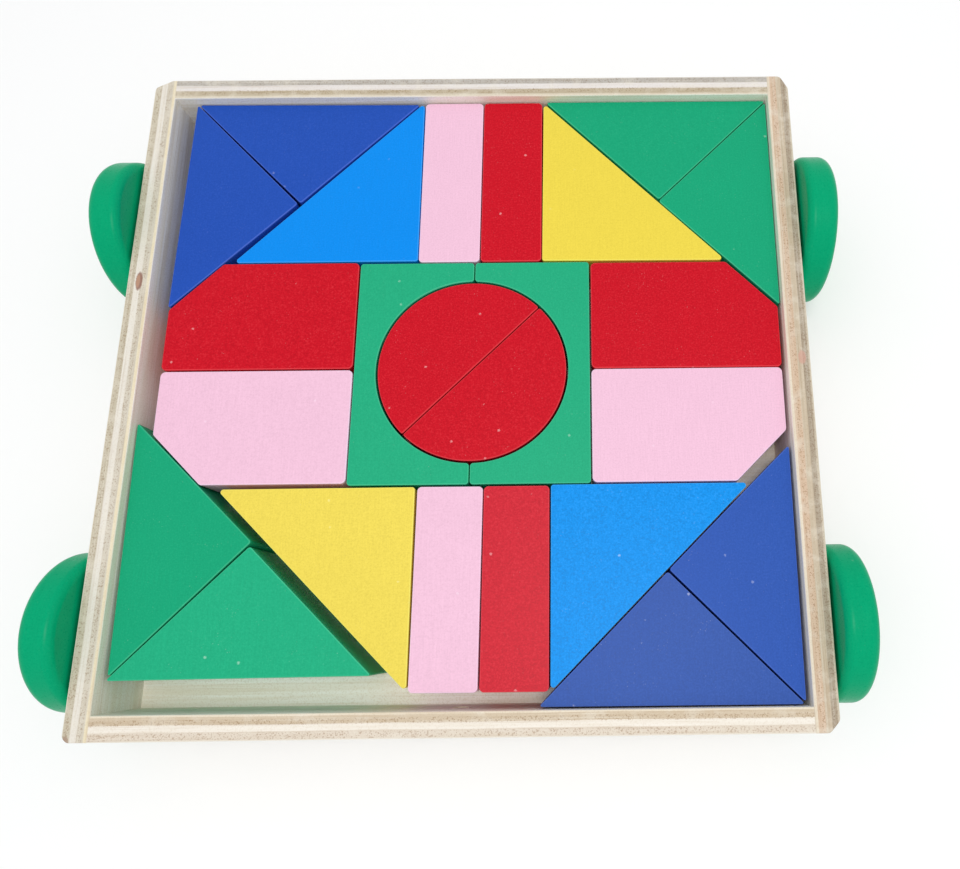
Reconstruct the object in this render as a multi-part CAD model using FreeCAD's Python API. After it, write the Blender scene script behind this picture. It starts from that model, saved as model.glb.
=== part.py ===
import FreeCAD, Part
import math
import os

# A square plywood block cart: a shallow tray on four wheels, filled with a
# mosaic of painted wooden building blocks that lift out one by one.
#
# Frame: millimetres, +Z up, origin on the ground under the middle of the cart.
# +X is the cart's right side and -Y is its front.

V = FreeCAD.Vector

# ---------------------------------------------------------------- tray sizes
PLY = 9.0                  # side, front and rear panels
TRAY_WIDTH = 272.0         # outside, along X
TRAY_DEPTH = 270.0         # outside, along Y
FLOOR_THICKNESS = 4.0
INNER_HEIGHT = 28.5        # floor to rim
CORNER_SOFTNESS = 2.5      # rounding where a sanded-off corner meets the faces
PANEL_ARRIS = 0.5          # sanded long edges of the panels

# -------------------------------------------------------------------- wheels
WHEEL_RADIUS = 30.0
WHEEL_THICKNESS = 12.6
WHEEL_GAP = 1.2            # between a wheel and the side panel
WHEEL_OUTER_ROUND = 4.0
WHEEL_INNER_ROUND = 3.0
AXLE_Y_FRONT = -96.5
AXLE_Y_REAR = 71.5
AXLE_HEIGHT = WHEEL_RADIUS
PEG_RADIUS = 4.0
PEG_RUNNING_CLEARANCE = 0.08
PEG_GLUE_CLEARANCE = 0.02
PEG_HEAD_RADIUS = 8.0
PEG_HEAD_THICKNESS = 4.6
PEG_HEAD_GAP = 0.3

# --------------------------------------------------------------- steel pins
PIN_RADIUS = 0.7
PIN_HEAD_RADIUS = 1.2
PIN_HEAD_THICKNESS = 0.6
PIN_CLEARANCE = 0.02
CORNER_PIN_LENGTH = 25.0
FLOOR_PIN_LENGTH = 16.0

CORD_HOLE_RADIUS = 3.0
CORD_HOLE_ABOVE_FLOOR = 14.0

# -------------------------------------------------------------------- blocks
BLOCK_THICKNESS = 25.0
BAR_WIDTH = 25.0
BAR_LENGTH = 75.6
BIG_TRIANGLE_LEG = 75.4
LIGHT_BLUE_LEG_REAR = 75.8     # the light blue ones came out a little larger
LIGHT_BLUE_LEG_FRONT = 76.2
SMALL_TRIANGLE_LEG = 67.6
CLIPPED_LENGTH = 75.7
CLIPPED_WIDTH = 46.0
CLIP = 20.2
ARCH_WIDTH = 46.5
ARCH_LENGTH = 93.0
ARCH_RADIUS = 38.1
DISC_RADIUS = 37.3
MIDDLE_GAP = 0.4           # between the two arches and between the two half discs
BAR_CORNER = 1.7           # rounding of the upright corners, shape by shape
TRIANGLE_CORNER = 1.1
TRIANGLE_TIP = 0.55
CLIPPED_CORNER = 2.0
ARCH_CORNER = 1.3
DISC_CORNER = 0.8
BLOCK_ARRIS = 0.55         # rounding of the top and bottom edges

# ------------------------------------------------------------- derived sizes
FLOOR_TOP = 20.5
FLOOR_BOTTOM = FLOOR_TOP - FLOOR_THICKNESS
RIM = FLOOR_TOP + INNER_HEIGHT
HALF_W = TRAY_WIDTH / 2
HALF_D = TRAY_DEPTH / 2

CORNER_PIN_HEIGHTS = (27.0, 42.5)
FLOOR_PIN_Y = (-118.0, -40.0, 30.0, 118.0)   # along the side panels
FLOOR_PIN_X = (-90.0, -30.0, 30.0, 90.0)     # along the front and rear panels

# How far each upright corner of the tray is sanded back, along X and along Y.
# They were sanded by hand, so each one differs.
CORNER_CUTS = {
    (-1, 1): (7.2, 3.6),
    (1, 1): (3.2, 6.0),
    (-1, -1): (1.8, 1.8),
    (1, -1): (3.8, 4.2),
}

X_AXIS = V(1, 0, 0)
Y_AXIS = V(0, 1, 0)
Z_AXIS = V(0, 0, 1)

os.makedirs("parts", exist_ok=True)


def save(shape, name):
    shape.exportStep("parts/" + name + ".step")


def box(x0, x1, y0, y1, z0, z1):
    return Part.makeBox(x1 - x0, y1 - y0, z1 - z0, V(x0, y0, z0))


def is_upright(edge):
    a = edge.Vertexes[0].Point
    b = edge.Vertexes[-1].Point
    return abs(a.x - b.x) < 1e-6 and abs(a.y - b.y) < 1e-6 and abs(a.z - b.z) > 1e-6


def round_edges(shape, radius, wanted):
    edges = [e for e in shape.Edges if wanted(e)]
    return shape.makeFillet(radius, edges)


# ================================================================ steel pins
def make_pin(head_point, direction, length, extra=0.0):
    """A flat-headed panel pin; extra makes the matching hole a little larger."""
    shank = Part.makeCylinder(PIN_RADIUS + extra, length + extra, head_point, direction)
    head = Part.makeCylinder(PIN_HEAD_RADIUS + extra, PIN_HEAD_THICKNESS + extra,
                             head_point, direction)
    return shank.fuse(head).removeSplitter()


def corner_pin_places():
    for side in (-1, 1):
        for end in (-1, 1):
            for z in CORNER_PIN_HEIGHTS:
                yield V(side * HALF_W, end * (HALF_D - PLY / 2), z), V(-side, 0, 0)


def floor_pin_places():
    for side in (-1, 1):
        for y in FLOOR_PIN_Y:
            yield V(side * (HALF_W - PLY / 2), y, FLOOR_BOTTOM), Z_AXIS
    for end in (-1, 1):
        for x in FLOOR_PIN_X:
            yield V(x, end * (HALF_D - PLY / 2), FLOOR_BOTTOM), Z_AXIS


corner_pins = [make_pin(p, d, CORNER_PIN_LENGTH) for p, d in corner_pin_places()]
floor_pins = [make_pin(p, d, FLOOR_PIN_LENGTH) for p, d in floor_pin_places()]
pin_holes = [make_pin(p, d, CORNER_PIN_LENGTH, PIN_CLEARANCE) for p, d in corner_pin_places()]
pin_holes += [make_pin(p, d, FLOOR_PIN_LENGTH, PIN_CLEARANCE) for p, d in floor_pin_places()]


def drill(panel):
    """Cut the pin holes that meet this panel."""
    limits = panel.BoundBox
    holes = [h for h in pin_holes if limits.intersect(h.BoundBox)]
    return panel.cut(holes)


# ====================================================================== tray
def cut_corner(side, end):
    """The two points where a sanded-off corner leaves the tray's faces."""
    dx, dy = CORNER_CUTS[(side, end)]
    on_end = (side * (HALF_W - dx), end * HALF_D)
    on_side = (side * HALF_W, end * (HALF_D - dy))
    return on_end, on_side


def upright_slab(outline, bottom, top):
    corners = [V(x, y, bottom) for x, y in outline]
    face = Part.Face(Part.makePolygon(corners + [corners[0]]))
    return face.extrude(V(0, 0, top - bottom))


def at_cut_corner(e):
    """True for the upright edges at either end of a sanded-off corner."""
    p = e.Vertexes[0].Point
    places = [q for side in (-1, 1) for end in (-1, 1) for q in cut_corner(side, end)]
    return is_upright(e) and any(math.hypot(p.x - x, p.y - y) < 1e-6 for x, y in places)


def make_side_panel(side):
    """Full-depth panel with sanded outer corners."""
    x_in = side * (HALF_W - PLY)
    rear_end, rear_side = cut_corner(side, 1)
    front_end, front_side = cut_corner(side, -1)
    outline = [(x_in, HALF_D), rear_end, rear_side, front_side, front_end, (x_in, -HALF_D)]
    panel = upright_slab(outline, FLOOR_TOP, RIM)
    panel = round_edges(panel, CORNER_SOFTNESS, at_cut_corner)

    def rim_edge(e):
        flat = e.BoundBox.ZMin > RIM - 1e-6
        return flat and e.Length > 1.0

    panel = round_edges(panel, PANEL_ARRIS, rim_edge)
    x_out = side * HALF_W
    for y in (AXLE_Y_FRONT, AXLE_Y_REAR):
        hole = Part.makeCylinder(PEG_RADIUS + PEG_GLUE_CLEARANCE, PLY + 2,
                                 V(x_out + side, y, AXLE_HEIGHT), V(-side, 0, 0))
        panel = panel.cut(hole)
    return drill(panel)


def make_end_panel(end):
    """Panel butted between the two side panels."""
    y_out = end * HALF_D
    y_in = end * (HALF_D - PLY)
    panel = box(-HALF_W + PLY, HALF_W - PLY, min(y_out, y_in), max(y_out, y_in),
                FLOOR_TOP, RIM)

    def rim_edge(e):
        on_rim = all(abs(v.Point.z - RIM) < 1e-6 for v in e.Vertexes)
        return on_rim and e.Length > TRAY_WIDTH / 2

    return drill(round_edges(panel, PANEL_ARRIS, rim_edge))


def make_floor():
    outline = []
    for side, end in ((-1, -1), (1, -1), (1, 1), (-1, 1)):
        pair = cut_corner(side, end)
        outline += pair if side * end < 0 else pair[::-1]
    floor = upright_slab(outline, FLOOR_BOTTOM, FLOOR_TOP)
    return drill(round_edges(floor, CORNER_SOFTNESS, at_cut_corner))


front_panel = make_end_panel(-1)
cord_hole = Part.makeCylinder(CORD_HOLE_RADIUS, PLY + 2,
                              V(0, -HALF_D - 1, FLOOR_TOP + CORD_HOLE_ABOVE_FLOOR), Y_AXIS)
front_panel = front_panel.cut(cord_hole)

save(make_side_panel(-1), "left_side_panel")
save(make_side_panel(1), "right_side_panel")
save(front_panel, "front_panel")
save(make_end_panel(1), "rear_panel")
save(make_floor(), "floor_panel")
save(Part.makeCompound(corner_pins), "corner_pins")
save(Part.makeCompound(floor_pins), "floor_pins")


# ==================================================================== wheels
def make_wheel(side, y):
    """Turned disc with a well rounded outer edge, bored for its peg."""
    x_in = HALF_W + WHEEL_GAP
    x_out = x_in + WHEEL_THICKNESS
    wheel = Part.makeCylinder(WHEEL_RADIUS, WHEEL_THICKNESS, V(x_in, 0, 0), X_AXIS)
    inner = [e for e in wheel.Edges if abs(e.BoundBox.XMax - x_in) < 1e-3]
    outer = [e for e in wheel.Edges if abs(e.BoundBox.XMin - x_out) < 1e-3]
    wheel = wheel.makeFillet(WHEEL_INNER_ROUND, inner)
    outer = [e for e in wheel.Edges if abs(e.BoundBox.XMin - x_out) < 1e-3]
    wheel = wheel.makeFillet(WHEEL_OUTER_ROUND, outer)
    bore = Part.makeCylinder(PEG_RADIUS + PEG_RUNNING_CLEARANCE, WHEEL_THICKNESS + 2,
                             V(x_in - 1, 0, 0), X_AXIS)
    wheel = wheel.cut(bore)
    if side < 0:
        wheel.rotate(V(0, 0, 0), Z_AXIS, 180)
    wheel.translate(V(0, y, AXLE_HEIGHT))
    return wheel


def make_peg(side, y):
    """Wooden axle peg glued into the side panel, with a domed head."""
    x_end = HALF_W - PLY + 0.5
    x_head = HALF_W + WHEEL_GAP + WHEEL_THICKNESS + PEG_HEAD_GAP
    shank = Part.makeCylinder(PEG_RADIUS, x_head - x_end, V(x_end, 0, 0), X_AXIS)
    head = Part.makeCylinder(PEG_HEAD_RADIUS, PEG_HEAD_THICKNESS, V(x_head, 0, 0), X_AXIS)
    rim = [e for e in head.Edges if e.BoundBox.XMin > x_head + PEG_HEAD_THICKNESS - 1e-3]
    head = head.makeFillet(PEG_HEAD_THICKNESS - 1.0, rim)
    peg = shank.fuse(head).removeSplitter()
    if side < 0:
        peg.rotate(V(0, 0, 0), Z_AXIS, 180)
    peg.translate(V(0, y, AXLE_HEIGHT))
    return peg


for end_name, axle_y in (("front", AXLE_Y_FRONT), ("rear", AXLE_Y_REAR)):
    for side_name, side in (("left", -1), ("right", 1)):
        corner = end_name + "_" + side_name
        save(make_wheel(side, axle_y), "wheel_" + corner)
        save(make_peg(side, axle_y), "axle_peg_" + corner)


# ==================================================================== blocks
def ease(block):
    """Round the top and bottom edges all the way round."""
    def lies_flat(e):
        b = e.BoundBox
        return b.ZLength < 1e-6 and (abs(b.ZMin) < 1e-6
                                     or abs(b.ZMin - BLOCK_THICKNESS) < 1e-6)

    return round_edges(block, BLOCK_ARRIS, lies_flat)


def soften(block, corner_radius):
    """Round the upright corners, then the top and bottom edges."""
    return ease(round_edges(block, corner_radius, is_upright))


def prism(points):
    corners = [V(x, y, 0) for x, y in points]
    face = Part.Face(Part.makePolygon(corners + [corners[0]]))
    return face.extrude(V(0, 0, BLOCK_THICKNESS))


def bar():
    w = BAR_WIDTH / 2
    h = BAR_LENGTH / 2
    return soften(prism([(-w, -h), (w, -h), (w, h), (-w, h)]), BAR_CORNER)


def big_triangle(sx, sy, leg=BIG_TRIANGLE_LEG):
    """Right angle at the origin, legs along sx and sy."""
    outline = [(0, 0), (sx * leg, 0), (0, sy * leg)]
    return soften(prism(outline), TRIANGLE_CORNER)


def small_triangle():
    """Right angle at the origin, long side facing +Y; its two tips are sharper."""
    k = SMALL_TRIANGLE_LEG / math.sqrt(2)
    block = prism([(0, 0), (k, k), (-k, k)])
    block = round_edges(block, TRIANGLE_TIP,
                        lambda e: is_upright(e) and e.CenterOfMass.y > k / 2)
    block = round_edges(block, TRIANGLE_CORNER,
                        lambda e: is_upright(e) and e.CenterOfMass.y < k / 2)
    return ease(block)


def clipped_block(sx, sy):
    """Rectangle about the origin, with the corner towards (sx, sy) cut off."""
    w = CLIPPED_LENGTH / 2
    h = CLIPPED_WIDTH / 2
    outline = [(-sx * w, -sy * h), (sx * w, -sy * h), (sx * w, sy * (h - CLIP)),
               (sx * (w - CLIP), sy * h), (-sx * w, sy * h)]
    return soften(prism(outline), CLIPPED_CORNER)


def arch(side):
    """Half-round opening on the straight edge at x = 0; the back is towards side."""
    h = ARCH_LENGTH / 2
    body = prism([(0, -h), (side * ARCH_WIDTH, -h), (side * ARCH_WIDTH, h), (0, h)])
    opening = Part.makeCylinder(ARCH_RADIUS, BLOCK_THICKNESS,
                                V(-side * MIDDLE_GAP / 2, 0, 0), Z_AXIS)
    return soften(body.cut(opening), ARCH_CORNER)


def half_disc():
    """Flat side on the X axis, round side towards +Y."""
    disc = Part.makeCylinder(DISC_RADIUS, BLOCK_THICKNESS)
    keep = box(-DISC_RADIUS, DISC_RADIUS, MIDDLE_GAP / 2, DISC_RADIUS, 0, BLOCK_THICKNESS)
    return soften(disc.common(keep), DISC_CORNER)


MIDDLE = (2.6, 2.8)        # the mosaic sits a little towards the rear right corner

REAR, LEFT, FRONT, RIGHT = 0, 90, 180, -90

# Every block: name, shape, position of its own origin in the tray, and turn in
# degrees. The blocks have a little play, so they lie slightly unevenly.
BLOCKS = (
    ("dark_blue_triangle_left", small_triangle(), -72.2, 77.3, LEFT - 0.9),
    ("dark_blue_triangle_rear", small_triangle(), -71.1, 77.5, REAR - 0.4),
    ("light_blue_triangle_rear", big_triangle(-1, 1, LIGHT_BLUE_LEG_REAR), -20.9, 50.3, 0.1),
    ("pink_bar_rear", bar(), -8.1, 87.6, 0.0),
    ("red_bar_rear", bar(), 17.3, 87.6, 0.0),
    ("yellow_triangle_rear", big_triangle(1, 1), 30.1, 50.0, -0.2),
    ("green_triangle_rear", small_triangle(), 79.05, 77.85, REAR),
    ("green_triangle_right", small_triangle(), 78.85, 77.15, RIGHT),

    ("red_clipped_block_left", clipped_block(-1, 1), -82.5, 26.7, 0.0),
    ("pink_clipped_block_left", clipped_block(-1, -1), -82.4, -19.9, 0.0),
    ("green_arch_left", arch(-1), MIDDLE[0] - MIDDLE_GAP / 2, MIDDLE[1], 0.0),
    ("green_arch_right", arch(1), MIDDLE[0] + MIDDLE_GAP / 2, MIDDLE[1], 0.0),
    ("red_half_disc_rear", half_disc(), MIDDLE[0], MIDDLE[1], 45.0),
    ("red_half_disc_front", half_disc(), MIDDLE[0], MIDDLE[1], -135.0),
    ("red_clipped_block_right", clipped_block(1, 1), 87.8, 25.9, 0.0),
    ("pink_clipped_block_right", clipped_block(1, -1), 87.7, -20.4, 0.0),

    ("green_triangle_left", small_triangle(), -78.15, -64.8, LEFT + 0.8),
    ("green_triangle_front", small_triangle(), -78.6, -66.4, FRONT + 0.4),
    ("yellow_triangle_front", big_triangle(-1, -1), -17.9, -44.5, 0.1),
    ("pink_bar_front", bar(), -4.6, -82.3, -0.2),
    ("red_bar_front", bar(), 20.9, -82.3, 0.0),
    ("light_blue_triangle_front", big_triangle(1, -1, LIGHT_BLUE_LEG_FRONT), 33.9, -44.1, 0.0),
    ("dark_blue_triangle_right", small_triangle(), 78.0, -76.9, RIGHT - 0.3),
    ("dark_blue_triangle_front", small_triangle(), 77.5, -77.6, FRONT - 0.1),
)

for name, block, x, y, turn in BLOCKS:
    block.rotate(V(0, 0, 0), Z_AXIS, turn)
    block.translate(V(x, y, FLOOR_TOP))
    save(block, name)
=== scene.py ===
import bpy
import math
from mathutils import Matrix, Vector


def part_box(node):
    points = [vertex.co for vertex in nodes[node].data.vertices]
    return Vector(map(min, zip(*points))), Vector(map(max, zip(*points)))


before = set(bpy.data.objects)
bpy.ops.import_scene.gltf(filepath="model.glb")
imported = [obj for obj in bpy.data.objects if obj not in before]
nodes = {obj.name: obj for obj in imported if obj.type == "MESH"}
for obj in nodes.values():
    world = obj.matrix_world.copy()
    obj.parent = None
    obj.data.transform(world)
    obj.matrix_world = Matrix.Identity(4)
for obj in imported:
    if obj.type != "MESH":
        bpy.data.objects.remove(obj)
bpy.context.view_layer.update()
scene = bpy.context.scene

# Sockets of the Mix node when it mixes colours.
MIX_A, MIX_B, MIX_RESULT = 6, 7, 2


# ------------------------------------------------------------ camera, light
CAMERA_PLACE = (0.04974, -0.10065, 0.30707)
CAMERA_TILT, CAMERA_ROLL, CAMERA_PAN = 12.555, -0.207, -0.690      # degrees
CAMERA_LENS = 26.29
CAMERA_SHIFT = (-0.1214, 0.0469)
KEY_PLACE = (0.10, -0.12, 1.25)
KEY_SIZE = (0.36, 0.36)
KEY_POWER = 5.75
KEY_COLOUR = (1.0, 0.98, 0.95)
SKY_COLOUR = (0.97, 0.985, 1.0, 1.0)
SKY_STRENGTH = 0.75
STUDIO_HALF_SIZE = 3.0
STUDIO_COLOUR = (0.96, 0.96, 0.96, 1.0)


def make_camera():
    camera = bpy.data.cameras.new("camera")
    camera.sensor_fit = "HORIZONTAL"
    camera.sensor_width = 36.0
    camera.lens = CAMERA_LENS
    camera.shift_x, camera.shift_y = CAMERA_SHIFT
    camera.clip_start = 0.01
    obj = bpy.data.objects.new("camera", camera)
    turn = (Matrix.Rotation(math.radians(CAMERA_PAN), 4, "Z")
            @ Matrix.Rotation(math.radians(CAMERA_ROLL), 4, "Y")
            @ Matrix.Rotation(math.radians(CAMERA_TILT), 4, "X"))
    obj.matrix_world = Matrix.Translation(CAMERA_PLACE) @ turn
    scene.collection.objects.link(obj)
    scene.camera = obj


def area_light(name, place, target, size, power, colour):
    light = bpy.data.lights.new(name, "AREA")
    light.shape = "RECTANGLE"
    light.size, light.size_y = size
    light.energy = power
    light.color = colour
    obj = bpy.data.objects.new(name, light)
    aim = Vector(target) - Vector(place)
    obj.location = place
    obj.rotation_euler = aim.to_track_quat("-Z", "Y").to_euler()
    scene.collection.objects.link(obj)


def make_world():
    world = bpy.data.worlds.new("studio")
    scene.world = world
    world.use_nodes = True
    background = world.node_tree.nodes["Background"]
    background.inputs["Color"].default_value = SKY_COLOUR
    background.inputs["Strength"].default_value = SKY_STRENGTH


def make_floor():
    size = STUDIO_HALF_SIZE
    mesh = bpy.data.meshes.new("studio_floor")
    corners = [(-size, -size, 0), (size, -size, 0), (size, size, 0), (-size, size, 0)]
    mesh.from_pydata(corners, [], [(0, 1, 2, 3)])
    floor = bpy.data.objects.new("studio_floor", mesh)
    scene.collection.objects.link(floor)
    material = bpy.data.materials.new("studio_floor")
    material.use_nodes = True
    shader = material.node_tree.nodes["Principled BSDF"]
    shader.inputs["Base Color"].default_value = STUDIO_COLOUR
    shader.inputs["Roughness"].default_value = 0.9
    mesh.materials.append(material)


make_camera()
make_world()
area_light("key", KEY_PLACE, (0, 0, 0), KEY_SIZE, KEY_POWER, KEY_COLOUR)
make_floor()
scene.view_settings.view_transform = "Standard"


# ------------------------------------------------------------ shader helpers
def srgb(red, green, blue):
    """Linear colour from 0-255 display values."""
    out = []
    for value in (red, green, blue):
        v = value / 255
        out.append(v / 12.92 if v <= 0.04045 else ((v + 0.055) / 1.055) ** 2.4)
    return (*out, 1.0)


def even(scale):
    """The same noise scale, in cycles per metre, on all three axes."""
    return (scale, scale, scale)


def stretched(across, along, axis):
    """Noise scale for grain that runs along one axis."""
    scale = [across, across, across]
    scale[axis] = along
    return scale


class Graph:
    """Small helper that builds one material's node tree."""

    def __init__(self, name):
        self.material = bpy.data.materials.new(name)
        self.material.use_nodes = True
        self.tree = self.material.node_tree
        self.shader = self.tree.nodes["Principled BSDF"]
        self.coords = self.tree.nodes.new("ShaderNodeTexCoord")

    def node(self, kind, **settings):
        made = self.tree.nodes.new(kind)
        for key, value in settings.items():
            setattr(made, key, value)
        return made

    def join(self, source, target):
        self.tree.links.new(source, target)

    def fill(self, socket, value):
        if isinstance(value, bpy.types.NodeSocket):
            self.join(value, socket)
        else:
            socket.default_value = value

    def math(self, operation, a, b=0.0, c=0.0):
        made = self.node("ShaderNodeMath", operation=operation)
        for socket, value in zip(made.inputs, (a, b, c)):
            self.fill(socket, value)
        return made.outputs[0]

    def place(self, scale, shift=(0, 0, 0), turn=(0, 0, 0)):
        """Object coordinates in metres, scaled per axis."""
        made = self.node("ShaderNodeMapping")
        self.join(self.coords.outputs["Object"], made.inputs["Vector"])
        made.inputs["Scale"].default_value = scale
        made.inputs["Location"].default_value = shift
        made.inputs["Rotation"].default_value = turn
        return made.outputs[0]

    def noise(self, vector, detail=2.0, rough=0.5, distortion=0.0):
        made = self.node("ShaderNodeTexNoise")
        self.join(vector, made.inputs["Vector"])
        made.inputs["Scale"].default_value = 1.0
        made.inputs["Detail"].default_value = detail
        made.inputs["Roughness"].default_value = rough
        made.inputs["Distortion"].default_value = distortion
        return made.outputs["Fac"]

    def cells(self, vector):
        """Distance to the nearest of many scattered points."""
        made = self.node("ShaderNodeTexVoronoi", feature="F1")
        self.join(vector, made.inputs["Vector"])
        made.inputs["Scale"].default_value = 1.0
        made.inputs["Randomness"].default_value = 1.0
        return made.outputs["Distance"]

    def ramp(self, factor, stops):
        made = self.node("ShaderNodeValToRGB")
        self.join(factor, made.inputs["Fac"])
        band = made.color_ramp
        band.interpolation = "LINEAR"
        while len(band.elements) > 1:
            band.elements.remove(band.elements[-1])
        band.elements[0].position = stops[0][0]
        band.elements[0].color = stops[0][1]
        for position, colour in stops[1:]:
            band.elements.new(position).color = colour
        return made.outputs["Color"]

    def level(self, factor, low, high):
        """0 below low, 1 above high."""
        made = self.node("ShaderNodeMapRange", clamp=True)
        self.join(factor, made.inputs["Value"])
        made.inputs["From Min"].default_value = low
        made.inputs["From Max"].default_value = high
        return made.outputs["Result"]

    def mix(self, factor, a, b, blend="MIX"):
        made = self.node("ShaderNodeMix", data_type="RGBA", blend_type=blend)
        self.fill(made.inputs["Factor"], factor)
        self.fill(made.inputs[MIX_A], a)
        self.fill(made.inputs[MIX_B], b)
        return made.outputs[MIX_RESULT]

    def split(self, vector):
        made = self.node("ShaderNodeSeparateXYZ")
        self.join(vector, made.inputs[0])
        return made.outputs

    def bump(self, height, strength, distance, normal=None):
        made = self.node("ShaderNodeBump")
        self.join(height, made.inputs["Height"])
        made.inputs["Strength"].default_value = strength
        made.inputs["Distance"].default_value = distance
        if normal is not None:
            self.join(normal, made.inputs["Normal"])
        return made.outputs["Normal"]


# ---------------------------------------------------------- painted surfaces
GRAIN_SCALE = (3200, 110, 400)
WEAVE_SCALE = (150, 2600, 400)
SCUFF_SCALE = (700, 2400, 700)
SCUFF_TURN = (0, 0, 0.6)


def paint(name, colour, speck=0.4, roughness=0.42, mottle=0.5, gloss=0.10, shift=0.0,
          edge=0.6):
    """Sprayed paint on planed wood: fine grain lines, orange peel, a little dust.

    speck is how much dust and chipping shows, mottle how strong the orange peel is (its bump
    and its painted shade and highlight), and edge how strong the painted highlight on the
    eased edges is. shift gives each piece its own pattern."""
    g = Graph(name)
    place = (shift, shift * 0.7, shift * 1.3)
    grain = g.noise(g.place(GRAIN_SCALE, place))
    weave = g.noise(g.place(WEAVE_SCALE, place))
    broad = g.noise(g.place(even(22), place))
    peel = g.noise(g.place(even(1500), place), rough=0.65)
    fine = g.noise(g.place(even(2600), place), detail=1.0)
    dust = g.cells(g.place(even(760), place))
    where = g.noise(g.place(even(130), place), detail=3.0)
    scuff = g.noise(g.place(SCUFF_SCALE, place, SCUFF_TURN), detail=3.0, rough=0.6,
                    distortion=0.5)

    def shade(factor, lift=0.0):
        return tuple(min(1.0, c * factor + lift) for c in colour[:3]) + (1.0,)

    # grain lines, cross weave and broad unevenness
    base = g.mix(g.level(grain, 0.30, 0.70), shade(0.95), shade(1.03))
    base = g.mix(g.math("MULTIPLY", g.level(weave, 0.52, 0.72), 0.35), base, shade(0.90))
    base = g.mix(g.math("MULTIPLY", g.level(broad, 0.35, 0.7), 0.5), base, shade(0.95))
    # orange peel: painted shade in its hollows and painted highlight on its crests
    base = g.mix(g.math("MULTIPLY", g.level(peel, 0.50, 0.34), 0.75 * mottle), base, shade(0.74))
    base = g.mix(g.math("MULTIPLY", g.level(peel, 0.54, 0.68), 0.50 * mottle), base,
                 shade(1.15, 0.03))
    # dust in patches, then fine scuffs, then a few chips
    spots = g.math("MULTIPLY", g.level(dust, 0.20, 0.09), g.level(where, 0.50, 0.66))
    spots = g.math("MULTIPLY", spots, g.level(fine, 0.42, 0.60))
    base = g.mix(g.math("MULTIPLY", spots, speck), base, shade(0.75, 0.32))
    rubbed = g.math("MULTIPLY", g.level(scuff, 0.66, 0.72), g.level(where, 0.56, 0.64))
    base = g.mix(g.math("MULTIPLY", rubbed, 0.6 * speck), base, shade(0.85, 0.22))

    chips = g.cells(g.place(even(95), place))
    chips = g.math("ADD", chips, g.math("MULTIPLY_ADD", fine, 0.08, -0.04))
    base = g.mix(g.math("MULTIPLY", g.level(chips, 0.060, 0.035), 1.2 * speck), base,
                 shade(0.75, 0.45))

    # painted highlight: the eased edges, whose faces tilt between top and side, are made paler as
    # if they catch the light
    tilt = g.math("ABSOLUTE", g.split(g.coords.outputs["Normal"])[2])
    painted_edge_highlight = g.math("MULTIPLY", g.level(tilt, 0.985, 0.90), g.level(tilt, 0.15, 0.40))
    base = g.mix(g.math("MULTIPLY", painted_edge_highlight, edge), base, shade(1.30, 0.07))
    g.join(base, g.shader.inputs["Base Color"])

    g.join(g.math("MULTIPLY_ADD", peel, 0.20, roughness - 0.10), g.shader.inputs["Roughness"])
    g.shader.inputs["Specular IOR Level"].default_value = gloss
    normal = g.bump(grain, 0.06, 0.00012)
    normal = g.bump(peel, 0.16 * mottle, 0.00010, normal)
    g.join(normal, g.shader.inputs["Normal"])
    return g.material


WHEEL_GREEN = srgb(0, 162, 112)

# The front blocks are a shade paler than the rear ones: painted glare over the front of the tray,
# not a different paint.
PAINTS = {
    "dark_blue": dict(colour=srgb(34, 80, 180), speck=0.22, mottle=0.45),
    "dark_blue_triangle_right": dict(colour=srgb(46, 88, 178), speck=0.30, mottle=0.5),
    "dark_blue_triangle_front": dict(colour=srgb(54, 90, 172), speck=0.45, mottle=0.6),
    "light_blue_triangle_rear": dict(colour=srgb(0, 140, 238), speck=0.10, mottle=0.35),
    "light_blue_triangle_front": dict(colour=srgb(0, 146, 236), speck=0.40, mottle=1.0),
    "green": dict(colour=srgb(20, 165, 119), speck=0.30, mottle=0.4),
    "green_arch": dict(colour=srgb(34, 172, 126), speck=0.30, mottle=0.45),
    "green_triangle_front": dict(colour=srgb(32, 174, 128), speck=0.40, mottle=0.4),
    "yellow": dict(colour=srgb(236, 213, 76), speck=0.10, mottle=0.35),
    "yellow_triangle_front": dict(colour=srgb(237, 215, 88), speck=0.25, mottle=0.45),
    "pink": dict(colour=srgb(240, 194, 217), speck=0.20, mottle=0.35),
    "red": dict(colour=srgb(204, 12, 34), speck=0.42, mottle=0.9),
    "red_bar_front": dict(colour=srgb(208, 38, 54), speck=0.35, mottle=0.9),
}


def paint_blocks():
    """Each block takes the longest name in PAINTS that its own name starts with."""
    shift = 0.0
    for name in sorted(nodes):
        keys = [key for key in PAINTS if name.startswith(key)]
        if keys:
            shift += 0.37
            look = PAINTS[max(keys, key=len)]
            cover(nodes[name], paint(name + "_paint", shift=shift, **look))


def cover(obj, material):
    slots = obj.data.materials
    for index in range(len(slots)):
        slots[index] = material
    if not len(slots):
        slots.append(material)


# ------------------------------------------------------------------- plywood
PALE_LINE = srgb(234, 227, 212)
FACE_PALE = srgb(255, 253, 246)
FACE_GRAIN = srgb(236, 228, 210)
FACE_FIGURE = srgb(212, 197, 172)
KNOT = srgb(132, 78, 58)
LEFT_KNOT = (-0.1313, 0.0405)       # on the left panel's top edge
RIGHT_STAIN = (0.1327, 0.0052)

BLACK, WHITE = (0, 0, 0, 1), (1, 1, 1, 1)
END_GRAIN_PLIES = [(0.0, BLACK), (0.17, BLACK), (0.20, WHITE), (0.40, WHITE), (0.43, BLACK),
                   (0.66, BLACK), (0.69, WHITE), (0.93, WHITE), (0.96, BLACK)]


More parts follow.
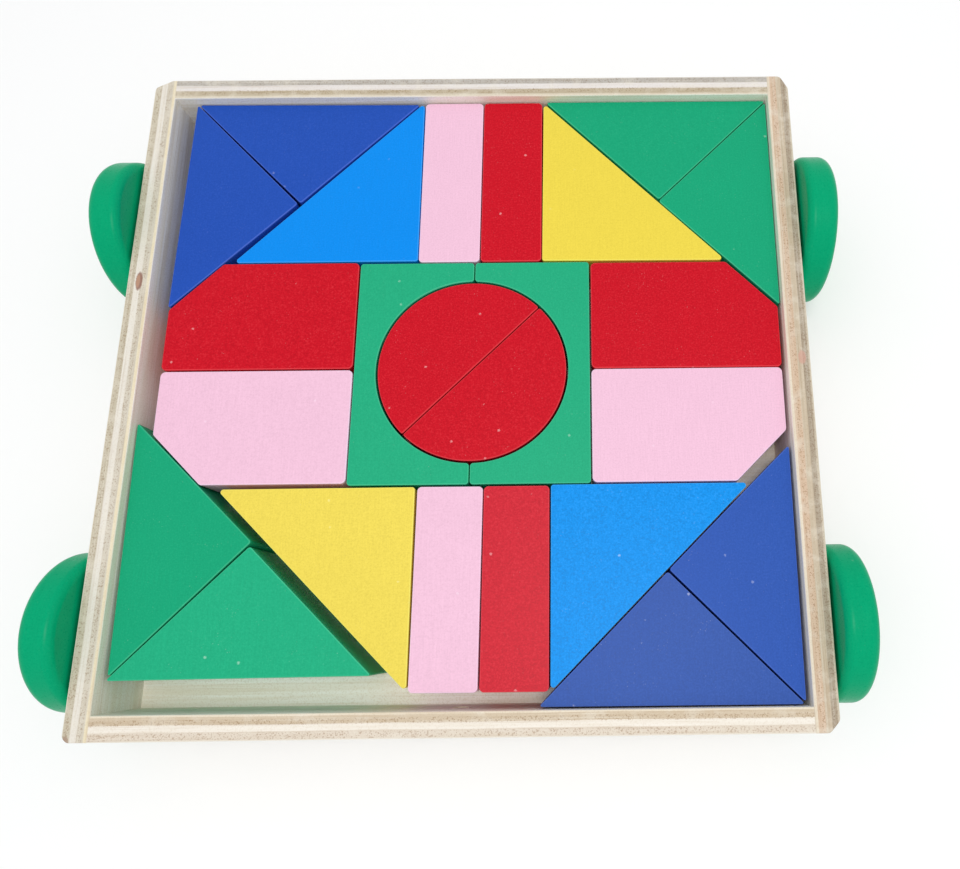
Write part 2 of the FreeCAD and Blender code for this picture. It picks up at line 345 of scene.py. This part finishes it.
def plywood(name, thickness_axis, inner, outer, layers, marks=()):
    """Five-ply board: banded edges, long-grain faces, and a few marks seen from above.

    A mark is (x, y, half width, half length, colour, strength)."""
    g = Graph(name)
    x, y, z = g.split(g.coords.outputs["Object"])
    along = 1 if thickness_axis == 0 else 0
    across = (x, y, z)[thickness_axis]
    normal = g.split(g.coords.outputs["Normal"])[thickness_axis]
    is_face = g.level(g.math("ABSOLUTE", normal), 0.55, 0.85)

    wobble = g.noise(g.place(even(30)))
    fibre = g.noise(g.place(stretched(900, 26, along)), detail=3.0, rough=0.6)
    streak = g.noise(g.place(stretched(1500, 16, along), (0.3, 0.7, 0.1)), detail=3.0,
                     rough=0.6, distortion=0.3)
    pores = g.noise(g.place(even(1700)), rough=0.65)
    blotch = g.noise(g.place(even(160)), detail=3.0, rough=0.6)

    # the five plies, with slightly wavy glue lines
    depth = g.math("SUBTRACT", across, inner)
    depth = g.math("DIVIDE", depth, outer - inner)
    depth = g.math("ADD", depth, g.math("MULTIPLY_ADD", wobble, 0.05, -0.025))
    depth = g.math("ADD", depth, g.math("MULTIPLY_ADD", fibre, 0.03, -0.015))
    bands = g.ramp(depth, layers)
    end_grain = g.ramp(depth, END_GRAIN_PLIES)
    edge = g.mix(g.math("MULTIPLY", g.level(fibre, 0.4, 0.7), 0.30), bands,
                 g.mix(1.0, bands, (0.80, 0.72, 0.60, 1), "MULTIPLY"))
    edge = g.mix(g.math("MULTIPLY", g.level(streak, 0.54, 0.70), 0.45), edge, PALE_LINE)
    edge = g.mix(g.math("MULTIPLY", g.level(streak, 0.44, 0.30), 0.45), edge,
                 g.mix(1.0, bands, (0.66, 0.56, 0.46, 1), "MULTIPLY"))
    speck = g.math("MULTIPLY", end_grain, g.level(pores, 0.50, 0.64))
    edge = g.mix(g.math("MULTIPLY", speck, 0.8), edge,
                 g.mix(1.0, bands, (0.56, 0.44, 0.34, 1), "MULTIPLY"))
    edge = g.mix(g.math("MULTIPLY", g.level(blotch, 0.50, 0.68), 0.35), edge, PALE_LINE)
    edge = g.mix(g.math("MULTIPLY", g.level(pores, 0.50, 0.34), 0.30), edge,
                 g.mix(1.0, bands, (0.72, 0.64, 0.54, 1), "MULTIPLY"))

    # the long-grain faces
    grain = g.noise(g.place(stretched(420, 9, along)), detail=4.0, rough=0.6, distortion=0.4)
    figure = g.noise(g.place(stretched(60, 3, along)), detail=3.0, distortion=1.2)
    face = g.mix(g.level(grain, 0.35, 0.7), FACE_PALE, FACE_GRAIN)
    face = g.mix(g.math("MULTIPLY", g.level(figure, 0.45, 0.7), 0.35), face, FACE_FIGURE)
    face = g.mix(g.math("MULTIPLY", g.level(streak, 0.46, 0.30), 0.55), face, FACE_FIGURE)
    face = g.mix(g.math("MULTIPLY", g.level(pores, 0.50, 0.64), 0.40), face, FACE_FIGURE)

    wood = g.mix(is_face, edge, face)
    for mark_x, mark_y, half_width, half_length, colour, strength in marks:
        # a soft-edged oval, roughened by the pores
        dx = g.math("DIVIDE", g.math("SUBTRACT", x, mark_x), half_width)
        dy = g.math("DIVIDE", g.math("SUBTRACT", y, mark_y), half_length)
        away = g.math("ADD", g.math("MULTIPLY", dx, dx), g.math("MULTIPLY", dy, dy))
        away = g.math("ADD", away, g.math("MULTIPLY_ADD", pores, 0.8, -0.4))
        wood = g.mix(g.math("MULTIPLY", g.level(away, 1.15, 0.65), strength), wood, colour)
    g.join(wood, g.shader.inputs["Base Color"])
    rough = g.math("MULTIPLY_ADD", fibre, 0.18, 0.52)
    g.join(rough, g.shader.inputs["Roughness"])
    bumpy = g.bump(fibre, 0.35, 0.0002)
    bumpy = g.bump(pores, 0.25, 0.00012, bumpy)
    g.join(bumpy, g.shader.inputs["Normal"])
    return g.material


def layer_stops(first, second, core, fourth, last, cuts=(0.13, 0.40, 0.68, 0.95)):
    """Ramp stops from the tray's inside (0) to its outside (1)."""
    soft = 0.012
    colours = (first, second, core, fourth, last)
    stops = [(0.0, first)]
    for index, cut in enumerate(cuts):
        stops.append((cut - soft, colours[index]))
        stops.append((cut + soft, colours[index + 1]))
    return stops


def wood_panels():
    """Each panel's five plies, from the tray's inside to its outside."""
    low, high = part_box("left_side_panel")
    inside, outside = high.x, low.x
    stops = layer_stops(srgb(232, 220, 190), srgb(212, 205, 190), srgb(231, 226, 216),
                        srgb(204, 196, 176), PALE_LINE)
    knot_x, knot_y = LEFT_KNOT
    marks = [(knot_x, knot_y, 0.0014, 0.0042, KNOT, 0.85),
             (knot_x - 0.0004, knot_y, 0.0008, 0.0030, srgb(196, 150, 120), 0.6),
             (low.x + 0.0015, low.y + 0.0006, 0.0012, 0.0018, KNOT, 0.5)]
    cover(nodes["left_side_panel"],
          plywood("left_panel_ply", 0, inside, outside, stops, marks))
    stops = layer_stops(srgb(228, 216, 196), srgb(214, 188, 162), srgb(200, 184, 160),
                        srgb(174, 160, 140), srgb(206, 196, 176), (0.12, 0.42, 0.66, 0.90))
    stain_x, stain_y = RIGHT_STAIN
    marks = [(stain_x, stain_y, 0.0016, 0.0030, srgb(206, 150, 134), 0.6)]
    cover(nodes["right_side_panel"],
          plywood("right_panel_ply", 0, -inside, -outside, stops, marks))
    low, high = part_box("rear_panel")
    stops = layer_stops(srgb(220, 210, 190), srgb(194, 181, 156), srgb(230, 225, 222),
                        srgb(190, 186, 180), srgb(214, 210, 202), (0.10, 0.38, 0.66, 0.93))
    cover(nodes["rear_panel"], plywood("rear_panel_ply", 1, low.y, high.y, stops))
    low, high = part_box("front_panel")
    stops = layer_stops(srgb(232, 220, 198), srgb(210, 193, 168), srgb(240, 233, 222),
                        srgb(226, 215, 200), srgb(236, 230, 218), (0.08, 0.38, 0.64, 0.95))
    cover(nodes["front_panel"], plywood("front_panel_ply", 1, high.y, low.y, stops))


def floor_panel():
    """Thin three-ply sheet; its plies show on the edge under the frame."""
    low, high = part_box("floor_panel")
    g = Graph("floor_ply")
    z = g.split(g.coords.outputs["Object"])[2]
    grain = g.noise(g.place(stretched(420, 10, 0)), detail=4.0, rough=0.6, distortion=0.4)
    figure = g.noise(g.place(stretched(50, 3, 0)), detail=3.0, distortion=1.2)
    streak = g.noise(g.place(stretched(1500, 16, 0)), detail=3.0, rough=0.6, distortion=0.3)
    pores = g.noise(g.place(even(1500)), rough=0.65)
    colour = g.mix(g.level(grain, 0.35, 0.7), FACE_PALE, FACE_GRAIN)
    colour = g.mix(g.math("MULTIPLY", g.level(streak, 0.46, 0.30), 0.45), colour, FACE_FIGURE)
    colour = g.mix(g.math("MULTIPLY", g.level(figure, 0.45, 0.7), 0.3), colour, FACE_FIGURE)
    colour = g.mix(g.math("MULTIPLY", g.level(pores, 0.50, 0.64), 0.35), colour, FACE_FIGURE)

    depth = g.math("DIVIDE", g.math("SUBTRACT", z, low.z), high.z - low.z)
    depth = g.math("ADD", depth, g.math("MULTIPLY_ADD", figure, 0.08, -0.04))
    dark, pale = srgb(176, 148, 112), srgb(226, 208, 176)
    plies = g.ramp(depth, [(0.0, pale), (0.30, pale), (0.34, dark), (0.64, dark),
                           (0.68, pale)])
    plies = g.mix(g.math("MULTIPLY", g.level(pores, 0.50, 0.66), 0.45), plies,
                  g.mix(1.0, plies, (0.62, 0.52, 0.42, 1), "MULTIPLY"))
    tilt = g.math("ABSOLUTE", g.split(g.coords.outputs["Normal"])[2])
    colour = g.mix(g.level(tilt, 0.55, 0.85), plies, colour)

    g.join(colour, g.shader.inputs["Base Color"])
    g.join(g.math("MULTIPLY_ADD", grain, 0.2, 0.5), g.shader.inputs["Roughness"])
    g.join(g.bump(grain, 0.2, 0.0002), g.shader.inputs["Normal"])
    cover(nodes["floor_panel"], g.material)


def small_parts():
    g = Graph("peg_wood")
    grain = g.noise(g.place(stretched(1200, 40, 0)), detail=3.0, rough=0.6, distortion=0.3)
    colour = g.mix(g.level(grain, 0.35, 0.7), srgb(226, 200, 158), srgb(200, 168, 122))
    g.join(colour, g.shader.inputs["Base Color"])
    g.join(g.math("MULTIPLY_ADD", grain, 0.2, 0.4), g.shader.inputs["Roughness"])
    g.join(g.bump(grain, 0.2, 0.0002), g.shader.inputs["Normal"])
    for name in nodes:
        if name.startswith("axle_peg"):
            cover(nodes[name], g.material)

    g = Graph("pin_steel")
    g.shader.inputs["Metallic"].default_value = 1.0
    brushed = g.noise(g.place(stretched(2400, 300, 2)), rough=0.6)
    g.join(g.mix(brushed, srgb(150, 150, 152), srgb(196, 196, 198)), g.shader.inputs["Base Color"])
    g.join(g.math("MULTIPLY_ADD", brushed, 0.2, 0.25), g.shader.inputs["Roughness"])
    cover(nodes["corner_pins"], g.material)
    cover(nodes["floor_pins"], g.material)


def wheels():
    names = sorted(name for name in nodes if name.startswith("wheel_"))
    for count, name in enumerate(names, 1):
        cover(nodes[name], paint(name + "_paint", WHEEL_GREEN, speck=0.10, roughness=0.30,
                                 mottle=0.25, gloss=0.06, shift=0.53 * count, edge=0.0))


paint_blocks()
wood_panels()
floor_panel()
small_parts()
wheels()
